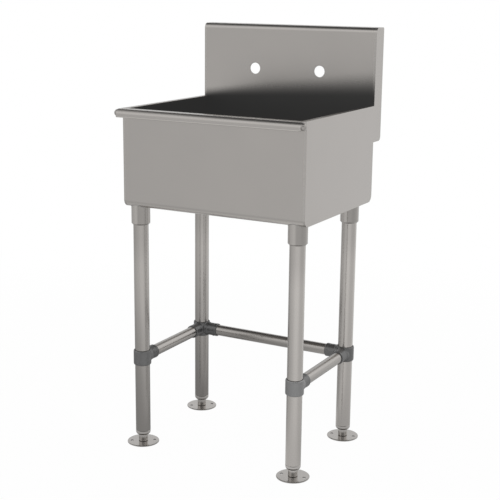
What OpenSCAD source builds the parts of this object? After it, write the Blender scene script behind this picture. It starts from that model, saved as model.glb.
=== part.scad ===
// Free-standing utility sink: one welded bowl with a splash, on four braced
// tube legs with adjustable flanged feet. Millimetres, +Z up, real size.
// X runs across the sink, Y from front to back. The origin is on the floor
// under the middle of the whole.

/* [Bowl] */
// Outside width of the bowl
bowl_w = 540; // [440:5:760]
// Front face to the face of the splash
bowl_d = 420; // [370:5:600]
// Rim to the underside of the bowl
bowl_h = 265; // [180:5:330]
// Floor to the rim
rim_z = 945; // [860:5:1020]
// Thickness of the sheet metal
sheet_t = 1.5; // [1.2:0.1:2]
// Outside radius of the two bends along the bottom
bend_r = 19; // [12:1:25]

/* [Rim] */
// Height of the rolled front edge
roll_h = 22.2; // [21:0.1:32]
// Front face to the front of the rolled edge
roll_out = 33.3; // [25:0.1:50]
// Outside radius of the rolled edge along its top
roll_r = 15; // [10:0.5:15.5]
// Outside radius where the rolled edge turns back towards the front face
roll_turn_r = 2.5; // [2:0.5:5]
// Gap between the turned back edge and the front face
roll_slot = 2; // [1:0.5:4]
// Diameter of the ball on each end of the rolled edge
roll_ball_d = 19.2; // [12:0.1:20]
// Outside radius where the front wall turns out into the ledge
ledge_r = 4; // [3:0.5:8]
// Width of the flat flange along each side of the bowl
side_flange_w = 14; // [8:1:22]
// Height of the hem turned down at the edge of each side flange
hem_h = 8; // [5:1:12]

/* [Splash] */
// Rim to the top of the splash
splash_h = 210; // [140:5:320]
// Splash face to the back of the top return
return_d = 51; // [30:1:80]
// Outside radius of the front bend at the top of the splash
top_bend_r = 15; // [3:0.5:18]
// Outside radius of the rear bend at the top of the splash
rear_bend_r = 6; // [3:0.5:10]
// Height of the lip turned down at the back
lip_h = 16; // [12:1:30]
// How far the ears reach below the rim
ear_drop = 100; // [40:5:150]
// Corner radius at the foot of the ears
ear_r = 12; // [4:1:20]
// Width of the lip turned in along the rear edge of the ears
ear_lip_w = 12; // [6:1:20]
// Diameter of the tap holes
tap_hole_d = 32; // [22:0.5:38]
// Distance between the tap holes
tap_spacing = 203.2; // [100:0.1:260]
// Height of the tap holes above the rim
tap_up = 86; // [50:1:100]

/* [Drain] */
// Front face to the axis of the drain
drain_y = 250; // [130:5:280]
// Diameter of the drain hole in the bottom
drain_hole_d = 89; // [76:1:95]
// Diameter of the lip of the strainer body
strainer_lip_d = 114; // [108:1:120]
// Thickness of the strainer lip
strainer_lip_t = 2.2; // [1.5:0.1:3]
// Depth of the strainer cup below the bottom sheet
cup_h = 22; // [20:1:30]
// Wall of the strainer cup
cup_wall = 2; // [1.5:0.1:2.5]
// Outside diameter of the threaded outlet
outlet_d = 48.3; // [42:0.1:55]
// Length of the threaded outlet
outlet_h = 16; // [10:1:25]
// Thickness of the rubber gasket under the bowl
gasket_t = 3; // [2:0.5:4]
// Thickness of the friction ring
friction_ring_t = 1.5; // [1:0.1:2]
// Thickness of the locknut
locknut_t = 8; // [6:0.5:10]
// Outside diameter of the locknut without its lugs
locknut_d = 100; // [98:1:106]
// Depth of the basket
basket_h = 18; // [14:1:19]
// Height of the basket knob above the basket floor
knob_h = 30; // [24:1:40]

/* [Legs] */
// Diameter of the leg tubes
leg_d = 41.3; // [38:0.1:45]
// Wall of the leg tubes
leg_wall = 1.6; // [1.2:0.1:2.5]
// Side of the bowl to the leg axis
leg_in_x = 33; // [30:1:60]
// Front face to the axis of the front legs
leg_in_front = 30; // [28:1:60]
// Splash face to the axis of the rear legs
leg_in_back = 70; // [50:1:90]
// Floor to the lower end of the leg tubes
leg_end_z = 36; // [34:1:45]
// Outside diameter of the leg gussets
gusset_d = 50.8; // [49:0.1:54]
// Height of the leg gussets below the bowl
gusset_h = 50; // [35:1:70]
// Chamfer at the foot of the gussets
gusset_chamfer = 3.6; // [1:0.1:3.6]

/* [Braces] */
// Diameter of the brace tubes
brace_d = 31.8; // [28:0.1:32.4]
// Wall of the brace tubes
brace_wall = 1.5; // [1.2:0.1:2]
// Floor to the axis of the braces
brace_z = 252; // [150:1:400]
// Outside diameter of the fitting collars
collar_d = 49; // [48:0.1:54]
// Height of the fitting collars
collar_h = 43; // [38:1:60]
// Chamfer at both ends of the collars
collar_chamfer = 2.4; // [1:0.1:2.6]
// Outside diameter of the brace sockets
socket_d = 38; // [37:0.1:42]
// Leg axis to the mouth of a brace socket
socket_reach = 58; // [48:1:70]
// Chamfer at the mouth of the brace sockets
socket_chamfer = 1.6; // [0.5:0.1:2]

/* [Feet] */
// Diameter of the foot flanges
flange_d = 88.9; // [80:0.1:96]
// Thickness of the foot flanges
flange_t = 3; // [2.8:0.1:5]
// Diameter of the anchor holes
anchor_d = 8; // [6:0.5:10]
// Diameter of the circle through the anchor holes
anchor_circle_d = 63.5; // [50:0.5:66]
// Diameter of the foot stems
stem_d = 25.4; // [22:0.1:28]
// Straight height of the foot shoulder below the tube
shoulder_h = 4.6; // [2:0.1:8]
// Diameter of the threaded rod
rod_d = 15.9; // [12:0.1:18]
// Length of the threaded rod above the shoulder
rod_h = 58; // [56:1:80]
// Height of the threaded insert in the leg
insert_h = 30; // [20:1:32]

/* [Set screws] */
// Diameter of the set screws
screw_d = 6.3; // [5:0.1:7]
// How far a set screw stands out of its hole
screw_out = 1; // [0.5:0.1:2]
// Width across the corners of the hexagon socket
hexagon_d = 3.6; // [2.5:0.1:4]

/* [Fits] */
// Radial clearance of tubes and plugs in their seats
seat_fit = 0.1; // [0.05:0.01:0.2]
// Radial clearance of the turning pins and rods
run_fit = 0.08; // [0.04:0.01:0.1]
// Gap between faces that move past each other
face_gap = 0.3; // [0.25:0.05:0.5]

/* [Hidden] */
$fn = 64;

// Overrun of every cut past the face that it goes through
over = 1;

// Heights
bowl_z = rim_z - bowl_h;
top_z = rim_z + splash_h;

// Front to back, measured from the front face until at_face() places it
back_y = bowl_d + sheet_t;
ear_y = bowl_d + return_d;
face_y = (roll_out - ear_y) / 2;

// Bowl between the side panels
sheet_w = bowl_w - 2 * sheet_t;
roll_z = rim_z - roll_h / 2;
roll_foot_z = rim_z - roll_h;

// Strainer, from the top of the bottom sheet down
floor_top_z = bowl_z + sheet_t;
cup_r = drain_hole_d / 2 - seat_fit;
cup_z = bowl_z - cup_h;
outlet_z = cup_z - outlet_h;
outlet_bore_r = outlet_d / 2 - cup_wall;
ring_bore_r = cup_r + seat_fit;
gasket_r = strainer_lip_d / 2 - cup_wall;
locknut_lugs = 6;
lug_w = locknut_d / 8;
lug_out = cup_wall * 2;

// Basket and its knob
basket_wall = 1;
basket_r = cup_r - cup_wall - face_gap * 2;
basket_z = cup_z + cup_wall + face_gap;
basket_rim_w = cup_wall;
hole_ring_shares = [0.36, 0.68];
hole_ring_counts = [8, 16];
basket_hole_r = basket_r / 13;
knob_post_r = basket_r / 11;
knob_head_r = basket_r / 4;
knob_head_h = knob_h / 5;
rivet_t = basket_wall / 2;
rivet_hole_r = knob_post_r * 0.7;

// Legs
leg_r = leg_d / 2;
leg_bore_r = leg_r - leg_wall;
leg_x = bowl_w / 2 - leg_in_x;
leg_front_y = leg_in_front;
leg_back_y = bowl_d - leg_in_back;
gusset_z = bowl_z - gusset_h;
gusset_cap_t = sheet_t * 2;
leg_top_z = bowl_z - gusset_cap_t - face_gap;
FRONT_LEFT = [-1, 0];
FRONT_RIGHT = [1, 0];
REAR_LEFT = [-1, 1];
REAR_RIGHT = [1, 1];
CORNERS = [FRONT_LEFT, FRONT_RIGHT, REAR_LEFT, REAR_RIGHT];

// Fittings and braces
collar_r = collar_d / 2;
socket_r = socket_d / 2;
socket_seat = collar_r;
brace_r = brace_d / 2;
brace_start = socket_seat + face_gap;
socket_screw_at = (socket_seat + socket_reach) / 2;

// Feet
stem_r = stem_d / 2;
shoulder_z = leg_end_z - face_gap;
rod_r = rod_d / 2;
pin_r = stem_r / 2;
rivet_head_r = pin_r * 1.5;
rivet_head_t = flange_t / 4;
recess_h = rivet_head_t + 2 * face_gap;
recess_r = rivet_head_r + 2 * face_gap;
flange_edge = flange_t / 5;
// How far each flange is turned round its stem, in degrees
flange_turn_front_left = 34;
flange_turn_front_right = 6;
flange_turn_rear_left = 42;
flange_turn_rear_right = 10;

// Set screws reach from the tube that they hold to screw_out past the fitting
screw_r = screw_d / 2;
hexagon_h = screw_d / 3;

function leg_y(corner) = corner[1] == 0 ? leg_front_y : leg_back_y;

module at_face() {
    translate([0, face_y, 0]) children();
}

module at_leg(corner) {
    at_face() translate([corner[0] * leg_x, leg_y(corner), 0]) children();
}

// Extrudes an outline drawn as (y, z) along X, centred on x = 0
module across(width) {
    translate([-width / 2, 0, 0]) rotate([90, 0, 90]) linear_extrude(width) children();
}

module upright_tube(z0, z1, r, wall) {
    translate([0, 0, z0]) difference() {
        cylinder(h = z1 - z0, r = r);
        translate([0, 0, -over]) cylinder(h = z1 - z0 + 2 * over, r = r - wall);
    }
}

// A quarter of a bent sheet round the origin, turned by angle
module bend(r, angle) {
    rotate(angle) intersection() {
        difference() {
            circle(r);
            circle(r - sheet_t);
        }
        square(r);
    }
}

// What a round corner of radius r leaves of the square corner at the origin
module corner_waste(r, angle) {
    rotate(angle) difference() {
        translate([-over, -over]) square(r + over);
        translate([r, r]) circle(r);
    }
}

// Profile of the one sheet that makes the rolled edge, front, bottom, back and splash
module sheet_profile() {
    // rolled edge, from where it is turned back under itself
    translate([roll_turn_r - roll_out, roll_foot_z])
        square([roll_out - roll_turn_r - roll_slot, sheet_t]);
    translate([roll_turn_r - roll_out, roll_foot_z + roll_turn_r]) bend(roll_turn_r, 180);
    translate([-roll_out, roll_foot_z + roll_turn_r]) square([sheet_t, roll_h - roll_turn_r - roll_r]);
    translate([roll_r - roll_out, rim_z - roll_r]) bend(roll_r, 90);
    translate([roll_r - roll_out, rim_z - sheet_t])
        square([roll_out - roll_r + sheet_t - ledge_r, sheet_t]);
    translate([sheet_t - ledge_r, rim_z - ledge_r]) bend(ledge_r, 0);
    translate([0, bowl_z + bend_r]) square([sheet_t, bowl_h - bend_r - ledge_r]);
    translate([bend_r, bowl_z + bend_r]) bend(bend_r, 180);
    translate([bend_r, bowl_z]) square([back_y - 2 * bend_r, sheet_t]);
    translate([back_y - bend_r, bowl_z + bend_r]) bend(bend_r, 270);
    translate([bowl_d, bowl_z + bend_r]) square([sheet_t, top_z - top_bend_r - bowl_z - bend_r]);
    translate([bowl_d + top_bend_r, top_z - top_bend_r]) bend(top_bend_r, 90);
    translate([bowl_d + top_bend_r, top_z - sheet_t]) square([return_d - top_bend_r - rear_bend_r, sheet_t]);
    translate([ear_y - rear_bend_r, top_z - rear_bend_r]) bend(rear_bend_r, 0);
    translate([ear_y - sheet_t, top_z - lip_h]) square([sheet_t, lip_h - rear_bend_r]);
}

module bowl_sheet() {
    color([0.61, 0.60, 0.58]) at_face() difference() {
        across(sheet_w) sheet_profile();
        translate([0, drain_y, bowl_z - over]) cylinder(h = sheet_t + 2 * over, d = drain_hole_d);
        for (side = [-1, 1]) {
            translate([side * tap_spacing / 2, bowl_d - over, rim_z + tap_up])
                rotate([-90, 0, 0]) cylinder(h = sheet_t + 2 * over, d = tap_hole_d);
        }
    }
}

// Side of the bowl with the ear that closes the end of the splash
module side_outline() {
    difference() {
        translate([0, bowl_z]) square([back_y, bowl_h]);
        translate([0, bowl_z]) corner_waste(bend_r, 0);
        translate([back_y, bowl_z]) corner_waste(bend_r, 90);
    }
    difference() {
        translate([bowl_d, rim_z - ear_drop]) square([return_d, ear_drop + splash_h]);
        translate([ear_y, rim_z - ear_drop]) corner_waste(ear_r, 90);
        translate([ear_y, top_z]) corner_waste(rear_bend_r, 180);
        translate([bowl_d, top_z]) corner_waste(top_bend_r, 270);
    }
}

module side_panel(side) {
    flange_x = bowl_w / 2 - side_flange_w;
    ear_lip_z = rim_z - ear_drop + ear_r;
    color([0.69, 0.68, 0.66]) at_face() mirror([side < 0 ? 1 : 0, 0, 0]) {
        translate([bowl_w / 2 - sheet_t / 2, 0, 0]) across(sheet_t) side_outline();
        translate([flange_x, sheet_t, rim_z - sheet_t])
            cube([side_flange_w - sheet_t, bowl_d - sheet_t, sheet_t]);
        translate([flange_x, sheet_t, rim_z - hem_h]) cube([sheet_t, bowl_d - sheet_t, hem_h]);
        translate([bowl_w / 2 - ear_lip_w, ear_y - sheet_t, ear_lip_z])
            cube([ear_lip_w - sheet_t, sheet_t, top_z - lip_h - face_gap - ear_lip_z]);
    }
}

// Outline of the rolled edge, seen from its end
module roll_outline() {
    difference() {
        translate([-roll_out, roll_foot_z]) square([roll_out, roll_h]);
        translate([-roll_out, roll_foot_z]) corner_waste(roll_turn_r, 0);
        translate([-roll_out, rim_z]) corner_waste(roll_r, 270);
    }
}

// Plate welded on each end of the rolled edge, with half a ball on it
module roll_cap(side) {
    color([0.66, 0.65, 0.63]) at_face() mirror([side < 0 ? 1 : 0, 0, 0]) {
        translate([bowl_w / 2 - sheet_t / 2, 0, 0]) across(sheet_t) roll_outline();
        translate([bowl_w / 2, roll_h / 2 - roll_out, roll_z]) rotate([0, 90, 0]) difference() {
            sphere(d = roll_ball_d);
            translate([0, 0, -roll_ball_d]) cylinder(h = roll_ball_d, r = roll_ball_d);
        }
    }
}

module strainer_body() {
    color("silver") at_face() translate([0, drain_y, 0]) difference() {
        union() {
            translate([0, 0, floor_top_z]) cylinder(h = strainer_lip_t, d = strainer_lip_d);
            translate([0, 0, cup_z]) cylinder(h = floor_top_z - cup_z, r = cup_r);
            translate([0, 0, outlet_z]) cylinder(h = outlet_h, d = outlet_d);
        }
        translate([0, 0, cup_z + cup_wall])
            cylinder(h = cup_h + sheet_t + strainer_lip_t, r = cup_r - cup_wall);
        translate([0, 0, outlet_z - over])
            cylinder(h = outlet_h + cup_wall + 2 * over, r = outlet_bore_r);
    }
}

// Flat ring round the strainer cup, from z0 up
module cup_ring(z0, h, r) {
    at_face() translate([0, drain_y, z0]) difference() {
        cylinder(h = h, r = r);
        translate([0, 0, -over]) cylinder(h = h + 2 * over, r = ring_bore_r);
    }
}

module strainer_gasket() {
    color([0.12, 0.12, 0.12]) cup_ring(bowl_z - gasket_t, gasket_t, gasket_r);
}

module friction_ring() {
    color([0.35, 0.3, 0.24])
        cup_ring(bowl_z - gasket_t - friction_ring_t, friction_ring_t, gasket_r - cup_wall);
}

module strainer_locknut() {
    nut_z = bowl_z - gasket_t - friction_ring_t - locknut_t;
    color([0.55, 0.53, 0.5]) at_face() translate([0, drain_y, nut_z])
        linear_extrude(locknut_t) difference() {
            union() {
                circle(locknut_d / 2);
                for (i = [0:locknut_lugs - 1]) rotate(i * 360 / locknut_lugs)
                    translate([0, -lug_w / 2]) square([locknut_d / 2 + lug_out, lug_w]);
            }
            circle(ring_bore_r);
        }
}

module strainer_basket() {
    color("silver") at_face() translate([0, drain_y, basket_z]) difference() {
        union() {
            cylinder(h = basket_h, r = basket_r - basket_rim_w);
            translate([0, 0, basket_h - basket_wall]) cylinder(h = basket_wall, r = basket_r);
        }
        translate([0, 0, basket_wall])
            cylinder(h = basket_h, r = basket_r - basket_rim_w - basket_wall);
        translate([0, 0, -over]) cylinder(h = basket_wall + 2 * over, r = rivet_hole_r + seat_fit);
        for (k = [0, 1]) for (i = [0:hole_ring_counts[k] - 1])
            rotate(i * 360 / hole_ring_counts[k])
                translate([hole_ring_shares[k] * basket_r, 0, -over])
                    cylinder(h = basket_wall + 2 * over, r = basket_hole_r, $fn = 24);
    }
}

// Post riveted through the basket floor, with a round head to lift it by
module basket_knob() {
    color("silver") at_face() translate([0, drain_y, basket_z]) {
        cylinder(h = basket_wall, r = rivet_hole_r);
        translate([0, 0, basket_wall]) cylinder(h = knob_h - basket_wall - knob_head_h, r = knob_post_r);
        translate([0, 0, knob_h - knob_head_h]) rotate_extrude() intersection() {
            translate([0, -knob_head_h]) square([knob_head_r, knob_head_h * 2]);
            union() {
                square([knob_head_r - knob_head_h / 2, knob_head_h]);
                translate([knob_head_r - knob_head_h / 2, knob_head_h / 2]) circle(knob_head_h / 2);
            }
        }
    }
}

// Outer shape of the bowl, to cope the gussets against its underside
module bowl_outside() {
    across(bowl_w + 2 * over) difference() {
        translate([0, bowl_z]) square([back_y, bowl_h]);
        translate([0, bowl_z]) corner_waste(bend_r, 0);
        translate([back_y, bowl_z]) corner_waste(bend_r, 90);
    }
}

module gusset(corner) {
    gusset_r = gusset_d / 2;
    color([0.58, 0.57, 0.55]) difference() {
        at_leg(corner) translate([0, 0, gusset_z]) {
            cylinder(h = gusset_chamfer, r1 = gusset_r - gusset_chamfer, r2 = gusset_r);
            translate([0, 0, gusset_chamfer])
                cylinder(h = gusset_h + bend_r - gusset_chamfer, r = gusset_r);
        }
        at_leg(corner) translate([0, 0, gusset_z - over])
            cylinder(h = gusset_h - gusset_cap_t + over, r = leg_r + seat_fit);
        at_leg(corner) translate([0, 0, gusset_z + gusset_h / 2])
            rotate([-90, 0, 0]) cylinder(h = gusset_d, r = screw_r + seat_fit);
        at_face() bowl_outside();
    }
}

// Set screw along +Z that holds a tube of radius tube_r and stands out of seat_r
module set_screw(tube_r, seat_r) {
    start = tube_r + seat_fit;
    length = seat_r + screw_out - start;
    translate([0, 0, start]) difference() {
        cylinder(h = length, r = screw_r);
        translate([0, 0, length - hexagon_h]) cylinder(h = hexagon_h + over, d = hexagon_d, $fn = 6);
    }
}

module gusset_screws() {
    color([0.3, 0.3, 0.3]) for (corner = CORNERS)
        at_leg(corner) translate([0, 0, gusset_z + gusset_h / 2])
            rotate([-90, 0, 0]) set_screw(leg_r, gusset_d / 2);
}

module leg(corner) {
    color([0.66, 0.65, 0.62]) at_leg(corner) upright_tube(leg_end_z, leg_top_z, leg_r, leg_wall);
}

// Turns +Z to +X, -X, +Y or -Y, given as an angle round Z from +X
module towards(angle) {
    rotate([0, 90, angle]) children();
}

// Collar on the leg with a socket towards each angle, and a set screw hole
module fitting(corner, angles, screw_angle) {
    color([0.38, 0.38, 0.39]) at_leg(corner) translate([0, 0, brace_z]) difference() {
        union() {
            translate([0, 0, -collar_h / 2]) {
                cylinder(h = collar_chamfer, r1 = collar_r - collar_chamfer, r2 = collar_r);
                translate([0, 0, collar_chamfer])
                    cylinder(h = collar_h - 2 * collar_chamfer, r = collar_r);
                translate([0, 0, collar_h - collar_chamfer])
                    cylinder(h = collar_chamfer, r1 = collar_r, r2 = collar_r - collar_chamfer);
            }
            for (angle = angles) towards(angle) {
                cylinder(h = socket_reach - socket_chamfer, r = socket_r);
                translate([0, 0, socket_reach - socket_chamfer])
                    cylinder(h = socket_chamfer, r1 = socket_r, r2 = socket_r - socket_chamfer);
            }
        }
        translate([0, 0, -collar_h / 2 - over]) cylinder(h = collar_h + 2 * over, r = leg_r + seat_fit);
        for (angle = angles) {
            towards(angle) translate([0, 0, socket_seat])
                cylinder(h = socket_reach, r = brace_r + seat_fit);
            rotate(angle) translate([socket_screw_at, 0, -socket_d])
                cylinder(h = socket_d, r = screw_r + seat_fit);
        }
        towards(screw_angle) cylinder(h = collar_d, r = screw_r + seat_fit);
    }
}

module collar_screws() {
    color([0.3, 0.3, 0.3]) {
        for (corner = [FRONT_LEFT, FRONT_RIGHT])
            at_leg(corner) translate([0, 0, brace_z]) towards(180) set_screw(leg_r, collar_r);
        for (corner = [REAR_LEFT, REAR_RIGHT])
            at_leg(corner) translate([0, 0, brace_z]) towards(90) set_screw(leg_r, collar_r);
    }
}

module socket_screw(corner, angle) {
    at_leg(corner) rotate(angle) translate([socket_screw_at, 0, brace_z])
        rotate([180, 0, 0]) set_screw(brace_r, socket_r);
}

module socket_screws() {
    color([0.3, 0.3, 0.3]) {
        socket_screw(FRONT_LEFT, 90);
        socket_screw(FRONT_RIGHT, 90);
        socket_screw(REAR_LEFT, -90);
        socket_screw(REAR_RIGHT, -90);
        socket_screw(REAR_LEFT, 0);
        socket_screw(REAR_RIGHT, 180);
    }
}

// Tube that runs from one fitting towards angle, over the span between leg axes
module brace(corner, angle, span) {
    length = span - 2 * brace_start;
    color([0.64, 0.63, 0.61]) at_leg(corner) translate([0, 0, brace_z]) towards(angle)
        translate([0, 0, brace_start]) difference() {
            cylinder(h = length, r = brace_r);
            translate([0, 0, -over]) cylinder(h = length + 2 * over, r = brace_r - brace_wall);
        }
}

module foot_insert(corner) {
    color([0.45, 0.45, 0.45]) at_leg(corner) translate([0, 0, leg_end_z]) difference() {
        cylinder(h = insert_h, r = leg_bore_r - seat_fit);
        translate([0, 0, -over]) cylinder(h = insert_h + 2 * over, r = rod_r + run_fit);
    }
}

// Stem with a rounded shoulder under the tube, the rod that screws into the
// insert, and the pin that is riveted through the flange
module foot_stem(corner) {
    round_r = leg_r - stem_r;
    base_z = flange_t + face_gap;
    color([0.5, 0.5, 0.5]) at_leg(corner) {
        translate([0, 0, face_gap]) cylinder(h = rivet_head_t, r = rivet_head_r);
        translate([0, 0, face_gap]) cylinder(h = base_z, r = pin_r);
        translate([0, 0, base_z]) cylinder(h = shoulder_z - base_z, r = stem_r);
        rotate_extrude() {
            translate([0, shoulder_z - shoulder_h]) square([leg_r, shoulder_h]);
            translate([stem_r, shoulder_z - shoulder_h]) intersection() {
                circle(round_r);
                translate([0, -round_r]) square(round_r);
            }
        }
        translate([0, 0, shoulder_z]) cylinder(h = rod_h, r = rod_r);
    }
}

module foot_flange(corner, turn) {
    flange_r = flange_d / 2;
    color([0.6, 0.6, 0.58]) at_leg(corner) rotate(turn) difference() {
        union() {
            cylinder(h = flange_t - flange_edge, r = flange_r);
            translate([0, 0, flange_t - flange_edge])
                cylinder(h = flange_edge, r1 = flange_r, r2 = flange_r - flange_edge);
        }
        translate([0, 0, -over]) cylinder(h = flange_t + 2 * over, r = pin_r + run_fit);
        translate([0, 0, -over]) cylinder(h = recess_h + over, r = recess_r);
        for (side = [-1, 1]) translate([side * anchor_circle_d / 2, 0, -over])
            cylinder(h = flange_t + 2 * over, d = anchor_d);
    }
}

bowl_sheet();
side_panel(-1);  // left_side_panel
side_panel(1);  // right_side_panel
roll_cap(-1);  // roll_cap_left
roll_cap(1);  // roll_cap_right
strainer_body();
strainer_gasket();
friction_ring();
strainer_locknut();
strainer_basket();
basket_knob();
gusset(FRONT_LEFT);  // gusset_front_left
gusset(FRONT_RIGHT);  // gusset_front_right
gusset(REAR_LEFT);  // gusset_rear_left
gusset(REAR_RIGHT);  // gusset_rear_right
gusset_screws();
leg(FRONT_LEFT);  // leg_front_left
leg(FRONT_RIGHT);  // leg_front_right
leg(REAR_LEFT);  // leg_rear_left
leg(REAR_RIGHT);  // leg_rear_right
fitting(FRONT_LEFT, [90], 180);  // tee_front_left
fitting(FRONT_RIGHT, [90], 180);  // tee_front_right
fitting(REAR_LEFT, [-90, 0], 90);  // corner_rear_left
fitting(REAR_RIGHT, [-90, 180], 90);  // corner_rear_right
collar_screws();
socket_screws();
brace(FRONT_LEFT, 90, leg_back_y - leg_front_y);  // brace_left
brace(FRONT_RIGHT, 90, leg_back_y - leg_front_y);  // brace_right
brace(REAR_LEFT, 0, 2 * leg_x);  // brace_rear
foot_insert(FRONT_LEFT);  // foot_insert_front_left
foot_insert(FRONT_RIGHT);  // foot_insert_front_right
foot_insert(REAR_LEFT);  // foot_insert_rear_left
foot_insert(REAR_RIGHT);  // foot_insert_rear_right
foot_stem(FRONT_LEFT);  // foot_stem_front_left
foot_stem(FRONT_RIGHT);  // foot_stem_front_right
foot_stem(REAR_LEFT);  // foot_stem_rear_left
foot_stem(REAR_RIGHT);  // foot_stem_rear_right
foot_flange(FRONT_LEFT, flange_turn_front_left);  // foot_flange_front_left
foot_flange(FRONT_RIGHT, flange_turn_front_right);  // foot_flange_front_right
foot_flange(REAR_LEFT, flange_turn_rear_left);  // foot_flange_rear_left
foot_flange(REAR_RIGHT, flange_turn_rear_right);  // foot_flange_rear_right
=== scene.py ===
import math

import bmesh
import bpy
from mathutils import Matrix, Vector


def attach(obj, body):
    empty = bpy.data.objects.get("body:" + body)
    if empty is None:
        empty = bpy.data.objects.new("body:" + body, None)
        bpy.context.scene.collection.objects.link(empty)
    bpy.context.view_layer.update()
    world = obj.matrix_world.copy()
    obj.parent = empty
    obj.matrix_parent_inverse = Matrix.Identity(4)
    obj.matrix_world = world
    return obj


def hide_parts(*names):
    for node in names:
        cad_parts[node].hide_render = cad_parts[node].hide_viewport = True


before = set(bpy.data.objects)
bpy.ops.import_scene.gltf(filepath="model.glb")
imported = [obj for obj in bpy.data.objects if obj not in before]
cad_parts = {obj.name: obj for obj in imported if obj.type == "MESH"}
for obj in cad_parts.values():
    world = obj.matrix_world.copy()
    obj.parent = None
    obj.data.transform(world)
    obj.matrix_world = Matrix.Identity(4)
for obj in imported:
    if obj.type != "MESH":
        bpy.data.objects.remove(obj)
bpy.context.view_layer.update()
scene = bpy.context.scene
mm = 0.001
pi = math.pi


# shader maths

class Wire:
    # an output that Python operators turn into Math nodes
    def __init__(self, kit, socket):
        self.kit = kit
        self.socket = socket

    def maths(self, operation, a, b):
        return self.kit.node("ShaderNodeMath", {"operation": operation}, {0: a, 1: b})

    def __add__(self, other):
        return self.maths("ADD", self, other)

    def __radd__(self, other):
        return self.maths("ADD", other, self)

    def __sub__(self, other):
        return self.maths("SUBTRACT", self, other)

    def __rsub__(self, other):
        return self.maths("SUBTRACT", other, self)

    def __mul__(self, other):
        return self.maths("MULTIPLY", self, other)

    def __rmul__(self, other):
        return self.maths("MULTIPLY", other, self)

    def __truediv__(self, other):
        return self.maths("DIVIDE", self, other)

    def __rtruediv__(self, other):
        return self.maths("DIVIDE", other, self)

    def __abs__(self):
        return self.kit.node("ShaderNodeMath", {"operation": "ABSOLUTE"}, {0: self})


class Finish:
    # one material or world, and its nodes
    def __init__(self, name, tree=None):
        if tree is None:
            self.material = bpy.data.materials.new(name)
            self.material.use_nodes = True
            tree = self.material.node_tree
        self.tree = tree
        tree.nodes.clear()

    def node(self, kind, settings=None, values=None, output=0):
        made = self.tree.nodes.new(kind)
        for key, value in (settings or {}).items():
            setattr(made, key, value)
        for key, value in (values or {}).items():
            if isinstance(value, Wire):
                self.tree.links.new(value.socket, made.inputs[key])
            else:
                made.inputs[key].default_value = value
        return Wire(self, made.outputs[output] if len(made.outputs) else None)

    def place(self):
        return self.node("ShaderNodeTexCoord", output="Object")

    def axes(self, vector):
        parts = self.node("ShaderNodeSeparateXYZ", None, {0: vector})
        outs = parts.socket.node.outputs
        return [Wire(self, outs[i]) for i in range(3)]

    def joined(self, x, y, z):
        return self.node("ShaderNodeCombineXYZ", None, {0: x, 1: y, 2: z})

    def stretched(self, vector, scale):
        return self.node("ShaderNodeVectorMath", {"operation": "MULTIPLY"}, {0: vector, 1: scale})

    def noise(self, vector, scale, detail=3, roughness=0.5):
        return self.node("ShaderNodeTexNoise", None,
                         {"Vector": vector, "Scale": scale, "Detail": detail, "Roughness": roughness})

    def ramp(self, value, low, high):
        return self.node("ShaderNodeMapRange", {"interpolation_type": "SMOOTHSTEP"},
                         {"Value": value, "From Min": low, "From Max": high})

    def rise(self, value, low, high):
        # a ramp between two places in millimetres
        return self.ramp(value, low * mm, high * mm)

    def fall(self, value, low, high):
        return 1 - self.rise(value, low, high)

    def root(self, value):
        return self.node("ShaderNodeMath", {"operation": "SQRT"}, {0: value})

    def highest(self, first, *others):
        for other in others:
            first = self.node("ShaderNodeMath", {"operation": "MAXIMUM"}, {0: first, 1: other})
        return first

    def mixed(self, share, a, b):
        four = [v if isinstance(v, Wire) else (*v, 1) for v in (a, b)]
        return self.node("ShaderNodeMix", {"data_type": "RGBA"},
                         {0: share, 6: four[0], 7: four[1]}, 2)

    def bump(self, height, distance, strength, normal=None):
        values = {"Height": height, "Distance": distance, "Strength": strength}
        if normal is not None:
            values["Normal"] = normal
        return self.node("ShaderNodeBump", None, values)

    def surface(self, values):
        shader = self.node("ShaderNodeBsdfPrincipled", None, values)
        self.node("ShaderNodeOutputMaterial", None, {"Surface": shader})
        return self.material


def grey(v, warm=0.0):
    return (v * (1 + warm), v, v * (1 - warm))


# camera, as fitted to the photograph

view = {"place": (1.45047, -2.66454, 1.26832), "yaw": 0.49917, "pitch": 0.23311,
        "roll": -0.01126, "lens": 80.94, "sensor": 36, "nearest": 0.05}


def makeCamera():
    yaw, pitch, roll = view["yaw"], view["pitch"], view["roll"]
    forward = Vector((-math.sin(yaw) * math.cos(pitch), math.cos(yaw) * math.cos(pitch),
                      -math.sin(pitch)))
    right = Vector((math.cos(yaw), math.sin(yaw), 0))
    down = forward.cross(right)
    right, down = (math.cos(roll) * right + math.sin(roll) * down,
                   -math.sin(roll) * right + math.cos(roll) * down)
    data = bpy.data.cameras.new("camera")
    data.lens = view["lens"]
    data.sensor_width = view["sensor"]
    data.clip_start = view["nearest"]
    camera = bpy.data.objects.new("camera", data)
    scene.collection.objects.link(camera)
    turn = Matrix((right, -down, -forward)).transposed()
    camera.matrix_world = Matrix.Translation(view["place"]) @ turn.to_4x4()
    scene.camera = camera


# light: "world" is the level on matt surfaces, and most of the rest is the studio that the metal
# mirrors, from the horizon to overhead and from the camera's side round to the far side

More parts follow.
